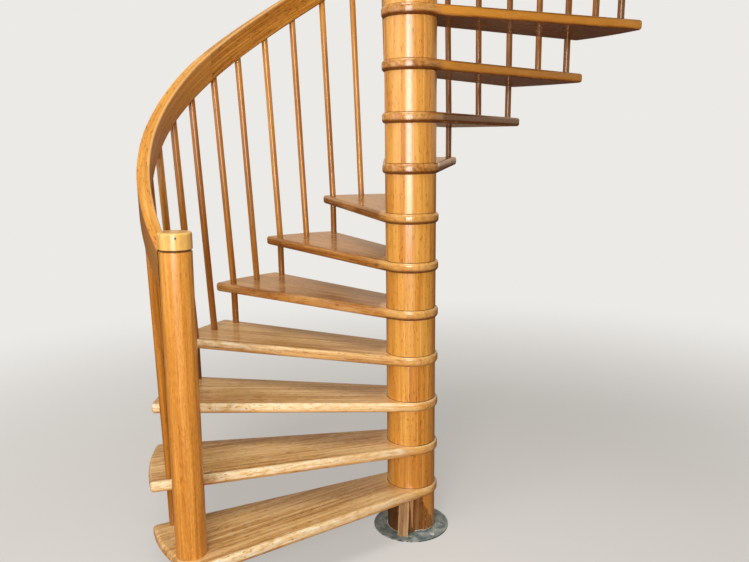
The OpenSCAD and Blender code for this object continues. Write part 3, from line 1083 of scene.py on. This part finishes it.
def rail_finish():
    paint = Paint("rail_strips")
    turn, metres = paint.split(paint.place("spot"))[:2]
    number = maths("FLOOR", turn)
    shift = paint.add("CombineXYZ", None, {0: number * 3.1, 1: number * 0.7})
    place = paint.stretch(paint.place(), (1.0, 1.0, 1.0), shift)
    outwards, below = paint.split(paint.place("section"))[:2]
    strip = paint.split(place)[2] / STRIP_T + paint.noise(place, (0.8, 2.0, 2.0), detail=1.0) * 1.5
    tone = paint.dice(maths("FLOOR", strip), number)
    figure, fibres = wood_figure(paint, place, tone, bands=0.45, streaks=1.1, pores=0.4)
    light = figure + (tone - 0.5) * 0.12 + (paint.dice(number) - 0.5) * 0.12
    kept = paint.ramp(light, [
        (0.12, 100, 52, 8), (0.36, 154, 94, 22), (0.58, 186, 120, 36), (0.84, 224, 160, 66)])
    rubbed = paint.ramp(light, [
        (0.12, 158, 92, 22), (0.36, 202, 132, 42), (0.58, 226, 158, 62), (0.84, 246, 192, 102)])
    amber = paint.step(turn, 1.01, 0.99)
    rubbed = paint.mix((1.0 - amber) * 0.5, rubbed, kept)
    kept = paint.coats(kept, (amber * 0.35, 206, 144, 58))
    # Painted light and wear: the top face is paler, rubbed by hands and lit from above; the sides
    # keep a darker brown as painted shade.
    colour = paint.mix(paint.step(below, 0.003, 0.014), rubbed, kept)
    # Painted highlight: a pale line along the inner top arris.
    rim = maths("ABSOLUTE", outwards) - below * 0.6
    rim = paint.step(rim, rail_w / 2 - 0.009, rail_w / 2 - 0.004)
    inner = paint.step(outwards, 0.0, -0.01)
    # Painted shade: the outer face is greyed.
    outer = paint.step(outwards, rail_w / 2 - 0.003, rail_w / 2 - 0.001)
    glue = paint.step(maths("PINGPONG", turn, 0.5) * metres, 0.0020, 0.0004)
    colour = paint.coats(
        colour, (rim * inner * 0.4, 250, 208, 150), (outer * 0.45, 140, 100, 74),
        (glue * 0.35, 96, 50, 16))
    return paint.surface({
        "Base Color": colour, "Roughness": 0.30 + fibres * 0.18, "Specular IOR Level": 0.3,
        "Coat Weight": 0.4, "Coat Roughness": 0.16,
    }, height=fibres - glue, depth=0.0006, strength=0.3)


rail_wood = rail_finish()

# %% Length of the handrail
rail_ease = 0.008
RAIL_STEP = 1.5


def rail_section(bm, azimuth):
    """The eased section of the rail as a ring of edges, standing at an azimuth."""
    low = rail_under(azimuth)
    high = low + rail_depth_z(azimuth)
    corners = [polar(azimuth, rail_mid_r + side * rail_w / 2, level)
               for side, level in ((-1, low), (-1, high), (1, high), (1, low))]
    ring = [bm.verts.new(corner) for corner in corners]
    for one, other in zip(ring, ring[1:] + ring[:1]):
        bm.edges.new((one, other))
    bmesh.ops.bevel(bm, geom=ring, offset=rail_ease, affect="VERTICES", segments=4,
                    profile=0.5, material=-1)


def rail_length(i):
    """Length i of the rail."""
    begin, end = rail_joint(i), rail_joint(i + 1)
    steps = round((begin - end) / RAIL_STEP)
    bm = bmesh.new()
    rail_section(bm, begin)
    bmesh.ops.spin(bm, geom=bm.verts[:] + bm.edges[:], cent=(0, 0, 0), axis=(0, 0, 1),
                   dvec=(0, 0, (rail_under(end) - rail_under(begin)) / steps),
                   angle=math.radians(end - begin), steps=steps)
    middle = (begin + end) / 2
    slope = (rail_under(end) - rail_under(begin)) / (end - begin)
    for vert in bm.verts:
        azimuth = azimuth_of(vert.co, middle)
        up = (vert.co.z - rail_under(begin) - slope * (azimuth - begin)) / rail_depth_z(begin)
        vert.co.z = rail_under(azimuth) + up * rail_depth_z(azimuth)
    bmesh.ops.holes_fill(bm, edges=bm.edges)
    bmesh.ops.recalc_face_normals(bm, faces=bm.faces)
    return bm


# %% Places along the handrail
GLUE_STEP = rail_joint(2) - rail_joint(3)
METRES_A_DEGREE = math.radians(1.0) * rail_mid_r / math.cos(rail_pitch)


def rail_grain(point, azimuth):
    """Metres along the rail, over its underside, and out from the column's axis."""
    along = (rail_from - azimuth) * METRES_A_DEGREE
    return along, point.z - rail_under(azimuth), point.xy.length


def rail_glue(point, azimuth):
    """How many glued lengths lie below a point, and how long one is in metres."""
    return (rail_joint(2) - azimuth) / GLUE_STEP, GLUE_STEP * METRES_A_DEGREE, 0.0


def rail_side(point, azimuth):
    """How far a point lies outwards of the rail's middle, and below its top."""
    top = rail_under(azimuth) + rail_depth_z(azimuth)
    return point.xy.length - rail_mid_r, top - point.z, 0.0


# %% Lengths of the handrail in place
for i in range(1, rail_lengths + 1):
    stock = rail_length(i)
    if i == 1:
        stock = carved(stock, bar(newel_axes, cap_rim + fit_gap, -SPARE, newel_top, NEWEL_SIDES))
    piece = make_piece(f"rail_{i}", stock, rail_wood, [f"handrail_{i}"])
    middle = (rail_joint(i) + rail_joint(i + 1)) / 2
    for name, values in (("grain", rail_grain), ("spot", rail_glue), ("section", rail_side)):
        add_spots(piece, lambda point: values(point, azimuth_of(point, middle)), name)
print("rail lengths", rail_lengths, "rail top radius", round(rail_mid_r + rail_w / 2, 3))

# %% [markdown]
# Foot of the column
# The steel plate is screwed down with countersunk screws, and one hole is empty. Above it the
# lowest drum is broken: some outer staves are gone, one leans out loose and a splinter hangs on.
# The steel post inside the column shows nowhere, but it is there and takes the plate's finish.

# %% Material of the plate
def plate_finish():
    paint = Paint("worn_steel")
    spot = paint.here()
    x, y, z = paint.split(spot)
    mottle = paint.noise(spot, (26.0, 26.0, 26.0), detail=5.0, roughness=0.6)
    fine = paint.noise(spot, (160.0, 160.0, 160.0), detail=3.0)
    colour = paint.ramp(mottle * 0.8 + fine * 0.2, [
        (0.34, 66, 86, 92), (0.46, 122, 140, 140), (0.56, 162, 174, 170), (0.70, 214, 210, 200)])
    # Painted shade: the plate's rim is near black, with pale crumbs that grow towards the left.
    edge = paint.step(z, plate_t - 0.0010, plate_t - 0.0022)
    crumbs = paint.step(mottle + fine * 0.5 - x * 1.2, 0.72, 0.84)
    colour = paint.mix(edge, colour, paint.mix(crumbs, srgb(34, 36, 34), srgb(196, 196, 184)))
    # Painted highlight: the lip's top edge is pale; a pale fringe also lies round the column's foot
    # on its left side.
    up = paint.split(paint.place("spot"))[0]
    lip = paint.step(up, 0.50, 0.66)
    contact = paint.step(from_axis(x, y), drum_r + 0.006, drum_r + 0.001)
    left = paint.step(x, -0.01, -0.05)
    pale = maths("MAXIMUM", lip, contact * left)
    colour = paint.coats(colour, (pale * 0.9, 246, 238, 218))
    return paint.surface({
        "Base Color": colour, "Roughness": 0.42 + mottle * 0.3, "Metallic": 0.15 - pale * 0.1,
    }, height=mottle * 0.6 + fine * 0.4, depth=0.0012, strength=0.5)


plate_steel = plate_finish()
for node in ("base_plate", "centre_post"):
    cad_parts[node].data.materials.clear()
    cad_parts[node].data.materials.append(plate_steel)

# %% [markdown]
# Broken wood at the foot
# The lowest drum has lost its outer staves in front. Bare and dirty wood has no shine: its
# colour goes from grey brown to dark, with coarse fibres. What is left of the varnish is a honey
# patch that ends in a slanting line.

# %% Bare wood of the broken drum
BREAK_FROM, BREAK_TO = 238.0, 300.0
stave_t = 0.008
foot_low = plate_t
foot_high = first_rise - tread_t
PATCH_AZIMUTH = -65.0
PATCH_Z = 0.165
PATCH_SLOPE = 0.0032


def bare_finish(name, stops, edge=None):
    """Dull bare wood; edge is the colour of a stave's split sides."""
    paint = Paint(name)
    place = paint.place()
    figure, fibres = wood_figure(paint, place, paint.dice(3.0), bands=0.4, streaks=0.8)
    cloud = paint.noise(place, (14.0, 40.0, 40.0))
    colour = paint.ramp(figure + (cloud - 0.5) * 0.4, stops)
    if edge:
        side = maths("ABSOLUTE", paint.split(paint.place("spot"))[0])
        colour = paint.mix(paint.step(side, 0.72, 0.86) * 0.8, colour, edge)
    return paint.surface({
        "Base Color": colour, "Roughness": 0.5 + fibres * 0.25, "Specular IOR Level": 0.3,
    }, height=figure, depth=0.0015, strength=0.5)


# %% Material of the staves that are left
def foot_finish():
    """The remaining outer staves: brown, with a patch of varnish."""
    paint = Paint("broken_drum")
    place = paint.place()
    x, y, z = paint.split(paint.here())
    figure = wood_figure(paint, place, paint.dice(5.0))[0]
    mottle = paint.noise(place, (22.0, 60.0, 60.0), detail=4.0)
    azimuth = maths("ARCTAN2", y, x) * (180 / math.pi)
    line = PATCH_Z - (azimuth - PATCH_AZIMUTH) * PATCH_SLOPE
    patch = paint.step(z - line + (mottle - 0.5) * 0.05, -0.004, 0.004)
    bare = paint.ramp(figure + (mottle - 0.5) * 0.6, [
        (0.2, 92, 52, 22), (0.5, 150, 96, 44), (0.8, 188, 132, 70)])
    honey = paint.ramp(figure, [
        (0.2, 176, 108, 34), (0.5, 216, 148, 62), (0.8, 240, 190, 110)])
    # Painted glints: pale specks on the bare wood.
    painted_glints = paint.noise(place, (60.0, 110.0, 110.0), detail=2.0)
    painted_glints = paint.step(painted_glints, 0.60, 0.66) * (1.0 - patch)
    shade = paint.step(x, -0.046, -0.062)
    colour = paint.coats(
        paint.mix(patch, bare, honey), (painted_glints * 0.6, 226, 164, 84), (shade * 0.7, 44, 26, 12))
    return paint.surface({
        "Base Color": colour, "Roughness": 0.5 - patch * 0.2, "Specular IOR Level": 0.35,
        "Coat Weight": patch * 0.5, "Coat Roughness": 0.14,
    }, height=figure * 0.6 + patch * 0.4, depth=0.0008, strength=0.5)


core_wood = bare_finish("dark_core", [
    (0.25, 62, 36, 18), (0.5, 124, 80, 40), (0.75, 164, 112, 58)])
slat_wood = bare_finish("loose_stave", [
    (0.25, 128, 92, 60), (0.5, 172, 130, 86), (0.75, 208, 166, 118)],
    edge=srgb(206, 164, 116))
splinter_wood = bare_finish("pale_splinter", [
    (0.25, 170, 120, 66), (0.5, 214, 166, 104), (0.75, 238, 202, 148)])
foot_wood = foot_finish()

# %% [markdown]
# What is left of the lowest drum
# The core is a plain tube. The remaining staves are a curved wall: one upright face with many
# rows is spun part of the way round, and the rows of its first and last faces are pushed
# to and fro, so that the wood looks torn and not sawn.

# %% Broken drum
ROWS = 18
TEAR = 2.6
TEAR_REACH = 6.0
CORE_GAP = 0.0002
LIP_H = 0.012
lip_top = plate_t + LIP_H


def torn_shell():
    """The outer staves that are left, with torn ends."""
    dice = random.Random("torn")
    bm = bmesh.new()
    corners = [(drum_r - stave_t, foot_low), (drum_r, foot_low),
               (drum_r, foot_high), (drum_r - stave_t, foot_high)]
    ring = [bm.verts.new(polar(BREAK_TO, radius, height)) for radius, height in corners]
    bm.faces.new(ring)
    upright = [edge for edge in bm.edges if climb_of(edge) > stave_t]
    bmesh.ops.subdivide_edges(bm, edges=upright, cuts=ROWS, use_grid_fill=True)
    bmesh.ops.spin(bm, geom=bm.verts[:] + bm.edges[:] + bm.faces[:], cent=(0, 0, 0),
                   axis=(0, 0, 1), angle=math.radians(360 - BREAK_TO + BREAK_FROM), steps=100)
    shift = [[dice.uniform(-TEAR, TEAR) for row in range(ROWS + 2)] for end in range(2)]
    for vert in bm.verts:
        azimuth = azimuth_of(vert.co)
        row = round((vert.co.z - foot_low) / (foot_high - foot_low) * (ROWS + 1))
        for end, edge in enumerate((BREAK_FROM, BREAK_TO)):
            near = 1 - abs(azimuth - edge) / TEAR_REACH
            if near > 0 and vert.co.z > lip_top:
                turn = math.radians(shift[end][row] * near)
                vert.co = Matrix.Rotation(turn, 3, "Z") @ vert.co
    return bm


make_piece("broken_staves", torn_shell(), foot_wood, ["bottom_drum"], UPRIGHT,
           smooth_angle=math.radians(30))
make_piece("drum_core", drum(foot_low, foot_high, drum_r - stave_t - CORE_GAP), core_wood,
           ["bottom_drum"], UPRIGHT)
print("outer staves are gone from", BREAK_FROM, "to", BREAK_TO, "degrees")

# %% [markdown]
# Loose stave and splinter
# The loose stave leans on the core with its foot on the plate, and the splinter hangs beside the
# break. Both are boards: a box and a drawn wedge, split into rows whose points are moved a
# little, so that edges waver as torn wood does.

# %% Loose stave
SLAT_AZIMUTH, SLAT_W, SLAT_SLIDE = 254.0, 0.046, 0.028
SLAT_SHARE, SLAT_ROWS, SLAT_EASE, SLAT_WAVER = 0.97, 14, 0.0012, 0.0005


def wavering(bm, amount, seed, keep_z=()):
    """Moves the points of a board a little, at random."""
    dice = random.Random(seed)
    for vert in bm.verts:
        if all(abs(vert.co.z - level) > 1e-5 for level in keep_z):
            vert.co += Vector([dice.uniform(-amount, amount) for axis in range(3)])
    return bm


def board(size, rows, corner):
    """A box of a size with one corner given, cut into rows along its height."""
    bm = bmesh.new()
    bmesh.ops.create_cube(bm, size=1.0)
    placed(bm, Matrix.Translation(corner) @ Matrix.Diagonal((*size, 1.0))
           @ Matrix.Translation((0.5, 0.5, 0.5)))
    upright = [edge for edge in bm.edges if climb_of(edge) > size[2] / 2]
    bmesh.ops.subdivide_edges(bm, edges=upright, cuts=rows, use_grid_fill=True)
    return bm


drop = foot_high - foot_low
lean = math.atan(SLAT_SLIDE / drop)
slat_axes = (turned_by(SLAT_AZIMUTH)
             @ Matrix.Translation((drum_r - stave_t + fit_gap + SLAT_SLIDE, 0, foot_low))
             @ Matrix.Rotation(-lean, 4, "Y"))
slat = board((stave_t, SLAT_W, drop * SLAT_SHARE + stave_t), SLAT_ROWS,
             (0, -SLAT_W / 2, -stave_t))
ease(slat, [edge for edge in slat.edges if not edge.is_manifold or
            edge.calc_face_angle() > 1], SLAT_EASE, 2)
placed(wavering(slat, SLAT_WAVER, "slat"), slat_axes)
cut_flat(slat, (0, 0, foot_low), (0, 0, -1))
cut_flat(slat, (0, 0, foot_high), (0, 0, 1))
make_piece("loose_stave_board", slat, slat_wood, ["loose_slat"],
           UPRIGHT @ slat_axes.inverted(),
           lambda point: ((slat_axes.inverted() @ point).y / (SLAT_W / 2), 0.0, 0.0))
print("loose stave", round(math.degrees(lean), 1), "degrees off upright")

# %% Splinter
SPLINTER_AZIMUTH, SPLINTER_W = 272.0, 0.015
SPLINTER_SHARE, SPLINTER_ROWS, SPLINTER_WAVER = 0.85, 16, 0.0004
SPLINTER_TAPER, SPLINTER_DRIFT = 0.8, 0.0025
splinter_axes = (turned_by(SPLINTER_AZIMUTH)
                 @ Matrix.Translation((drum_r - stave_t + fit_gap, 0, foot_high - fit_gap)))
length = drop * SPLINTER_SHARE
splinter = board((stave_t * 0.8, SPLINTER_W, length), SPLINTER_ROWS,
                 (0, -SPLINTER_W / 2, -length))
for vert in splinter.verts:
    taper = 1 + vert.co.z / length * SPLINTER_TAPER
    vert.co.y = vert.co.y * taper + SPLINTER_DRIFT * (1 - taper)
    vert.co.x *= 0.5 + 0.5 * taper
placed(wavering(splinter, SPLINTER_WAVER, "splinter", keep_z=(0.0,)), splinter_axes)
make_piece("hanging_splinter", splinter, splinter_wood, ["splinter"],
           UPRIGHT @ splinter_axes.inverted())
print("splinter", round(length, 3), "m long")

# %% [markdown]
# Cap of the column, lip and screws
# The cap is a turned disc with a full round edge. A thin lip of the plate is bent up round the
# foot of the column: a grid, laid along the wood and thickened. The screws are countersunk heads
# with a cross recess, turned and then carved; one hole, in front on the right, has lost its screw,
# and the screw beside it is painted near white as a glint.

# %% Cap of the column
cap_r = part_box("column_cap")[1].x
cap_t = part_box("column_cap")[1].z - column_top
profile = ([(0.0, 0.0)] + rounding(cap_r, cap_t / 2, cap_t / 2, False, 8)
           + rounding(cap_r, cap_t / 2, cap_t / 2, True, 8)[1:] + [(0.0, cap_t)])
on_column = Matrix.Translation((0, 0, column_top))
make_piece("column_cap_turned", placed(turned(profile, DRUM_SIDES), on_column), tread_wood,
           ["column_cap"], on_column.inverted(), lambda point: (point.x, 1.0, 0.1))
print("cap", round(2 * cap_r, 3), "m across")

# %% Lip of the plate
LIP_T = 0.0022
LIP_GAP = 0.0006
LIP_TIP_R = 0.131
lip_turns = [267.0, 280.0, BREAK_TO - 1.2, BREAK_TO - 0.4, 375.0]
core_wrap, drum_wrap = drum_r - stave_t + LIP_GAP, drum_r + LIP_GAP
lip_radii = [LIP_TIP_R, core_wrap, core_wrap, drum_wrap, drum_wrap]
lip_shares = [0.06, 1.0, 1.0, 1.0, 0.4]


def between(values, turn):
    """The value at a turn, from a list that belongs to the lip's turns."""
    for i in range(len(lip_turns) - 1):
        share = (turn - lip_turns[i]) / (lip_turns[i + 1] - lip_turns[i])
        if share <= 1.0 + 1e-6:
            return values[i] + share * (values[i + 1] - values[i])


def bent_lip():
    """The lip as a sheet: a grid laid along the column's foot and thickened outwards."""
    dice = random.Random("lip")
    bm = bmesh.new()
    bmesh.ops.create_grid(bm, x_segments=135, y_segments=3, size=1.0)
    for vert in bm.verts:
        turn = lip_turns[0] + (vert.co.x + 1) / 2 * (lip_turns[-1] - lip_turns[0])
        up = (vert.co.y + 1) / 2
        height = (lip_top - plate_t + dice.uniform(-0.0004, 0.0002)) * between(lip_shares, turn)
        vert.co = polar(turn, between(lip_radii, turn) + LIP_T * 0.5, plate_t + height * up)
    bmesh.ops.solidify(bm, geom=bm.faces[:], thickness=LIP_T * 0.5)
    bmesh.ops.recalc_face_normals(bm, faces=bm.faces)
    return bm


def up_the_lip(point):
    """How far up the lip a point lies, from 0 at the plate to 1 at its edge."""
    turn = azimuth_of(point, BREAK_TO)
    turn = min(max(turn, lip_turns[0]), lip_turns[-1])
    return (point.z - plate_t) / ((lip_top - plate_t) * between(lip_shares, turn)), 0.0, 0.0


lip = make_piece("plate_lip", bent_lip(), plate_steel, spots=up_the_lip)
print("lip", round(min(vert.co.xy.length for vert in lip.data.vertices), 4))

# %% Screws of the plate
HOLES = 8
HOLE_CIRCLE_R = 0.138
FIRST_HOLE = 41.5
EMPTY_HOLE = 7
SCREW_R = 0.0092
SCREW_T = 0.0026
SCREW_DOME = 1.06


def screw_head():
    """One countersunk head with a cross recess."""
    head = turned([(0.0, 0.0), (SCREW_R * 0.6, 0.0), (SCREW_R, SCREW_T * 0.9),
                   (SCREW_R * 0.9, SCREW_T), (0.0, SCREW_T * SCREW_DOME)], 32)
    for turn in (0, 90):
        slot = bmesh.new()
        bmesh.ops.create_cube(slot, size=1.0, matrix=(
            turned_by(turn)
            @ Matrix.Translation((0, 0, SCREW_T))
            @ Matrix.Diagonal((SCREW_R * 1.1, SCREW_R * 0.2, SCREW_T * 1.1, 1.0))))
        head = carved(head, slot)
    return head


def screw_finish():
    paint = Paint("zinc_screw")
    spot = paint.here()
    stain = paint.noise(spot, (300.0, 300.0, 300.0))
    x, y = paint.split(spot)[:2]
    # Painted glint: the screw in front on the right is painted near white and not metallic.
    glint_screw = paint.step(x, 0.06, 0.07) * paint.step(y, -0.07, -0.08)
    dull = paint.ramp(stain, [(0.35, 96, 102, 98), (0.6, 150, 156, 148)])
    glint_white = paint.ramp(stain, [(0.40, 190, 190, 186), (0.55, 255, 255, 252)])
    colour = paint.mix(glint_screw, dull, glint_white)
    return paint.surface({
        "Base Color": colour, "Roughness": 0.22 + stain * 0.3, "Metallic": 0.3 - glint_screw * 0.3,
    }, height=stain, depth=0.0003, strength=0.3)


dice = random.Random("screws")
heads = []
for i in range(HOLES):
    if i != EMPTY_HOLE:
        spot = polar(FIRST_HOLE + i * 360 / HOLES, HOLE_CIRCLE_R, plate_t - SCREW_T * SCREW_DOME)
        heads.append(placed(screw_head(), Matrix.Translation(spot)
                            @ Matrix.Rotation(dice.uniform(0, math.pi), 4, "Z")))
screws = make_piece("plate_screws", joined(heads), screw_finish())
print("screws", HOLES - 1, "faces", len(screws.data.polygons))

# %% [markdown]
# Floor and light
# The stair stands on a plain pale floor that fades into the backdrop. A tall soft lamp in front
# gives the column its long highlight, a weaker one stands on the left and one hangs above.
# The world adds an even light. The camera sees it pale and the varnish mirrors it warm, which
# costs the stair no extra light.

# %% Floor
FLOOR_SIZE = 110.0
FADE_FROM, FADE_TO = 1.2, 5.0
NEAR_FLOOR = srgb(226, 222, 216)
BACKDROP = srgb(236, 234, 230)
floor_bm = bmesh.new()
bmesh.ops.create_grid(floor_bm, x_segments=1, y_segments=1, size=FLOOR_SIZE / 2)
floor_mesh = bpy.data.meshes.new("floor")
floor_bm.to_mesh(floor_mesh)
floor_bm.free()
floor = bpy.data.objects.new("floor", floor_mesh)
bpy.context.collection.objects.link(floor)

floor_paint = Paint("pale_floor")
lit_floor = floor_paint.add("BsdfDiffuse", None, {"Color": NEAR_FLOOR})
pale_floor = floor_paint.add("Emission", None, {"Color": NEAR_FLOOR})
shown_floor = floor_paint.add("MixShader", None, {0: 0.5, 1: lit_floor, 2: pale_floor})
distance = from_axis(*floor_paint.split(floor_paint.here())[:2])
shown_floor = floor_paint.add("MixShader", None, {
    0: floor_paint.step(distance, FADE_FROM, FADE_TO), 1: shown_floor,
    2: floor_paint.add("Emission", None, {"Color": BACKDROP})})
warm_floor = floor_paint.add("BsdfDiffuse", None, {"Color": srgb(170, 128, 104)})
from_camera = floor_paint.add("LightPath", out="Is Camera Ray")
floor_paint.add("OutputMaterial", None, {"Surface": floor_paint.add(
    "MixShader", None, {0: from_camera, 1: warm_floor, 2: shown_floor})})
floor_mesh.materials.append(floor_paint.material)

# %% Lamps
def area_lamp(name, location, target, width, height, power):
    """A soft lamp that faces a point."""
    light = bpy.data.lights.new(name, "AREA")
    light.shape = "RECTANGLE"
    light.size = width
    light.size_y = height
    light.energy = power
    lamp = bpy.data.objects.new(name, light)
    facing = (Vector(target) - Vector(location)).to_track_quat("-Z", "Y").to_matrix().to_4x4()
    lamp.matrix_world = Matrix.Translation(location) @ facing
    bpy.context.collection.objects.link(lamp)
    return lamp


area_lamp("front_soft", (-0.5, -4.6, 2.0), (0, 0, 1.9), 2.0, 2.4, 165)
area_lamp("left_soft", (-4.4, -2.4, 2.4), (0, 0, 1.2), 3.6, 3.0, 44)
area_lamp("ceiling_lamp", (-0.6, -1.4, 5.4), (0, 0, 1.0), 2.0, 2.0, 90)

# %% World
world = bpy.data.worlds.new("studio")
bpy.context.scene.world = world
world.use_nodes = True
sky = world.node_tree
sky.nodes.clear()
WORLD_LIGHT = 0.20


def background(colour, strength):
    """A background of the world."""
    node = sky.nodes.new("ShaderNodeBackground")
    node.inputs["Color"].default_value = colour
    node.inputs["Strength"].default_value = strength
    return node


def chosen(ray, usual, special):
    """Shows one background to a kind of ray, and the usual one to all others."""
    path = sky.nodes.new("ShaderNodeLightPath")
    mix = sky.nodes.new("ShaderNodeMixShader")
    sky.links.new(path.outputs[ray], mix.inputs[0])
    sky.links.new(usual.outputs[0], mix.inputs[1])
    sky.links.new(special.outputs[0], mix.inputs[2])
    return mix


warm_white = (1.0, 0.95, 0.88, 1.0)
seen = chosen("Is Glossy Ray", background(warm_white, WORLD_LIGHT),
              background(srgb(230, 198, 166), 1.0))
seen = chosen("Is Camera Ray", seen, background(BACKDROP, 1.0))
out = sky.nodes.new("ShaderNodeOutputWorld")
sky.links.new(seen.outputs[0], out.inputs["Surface"])
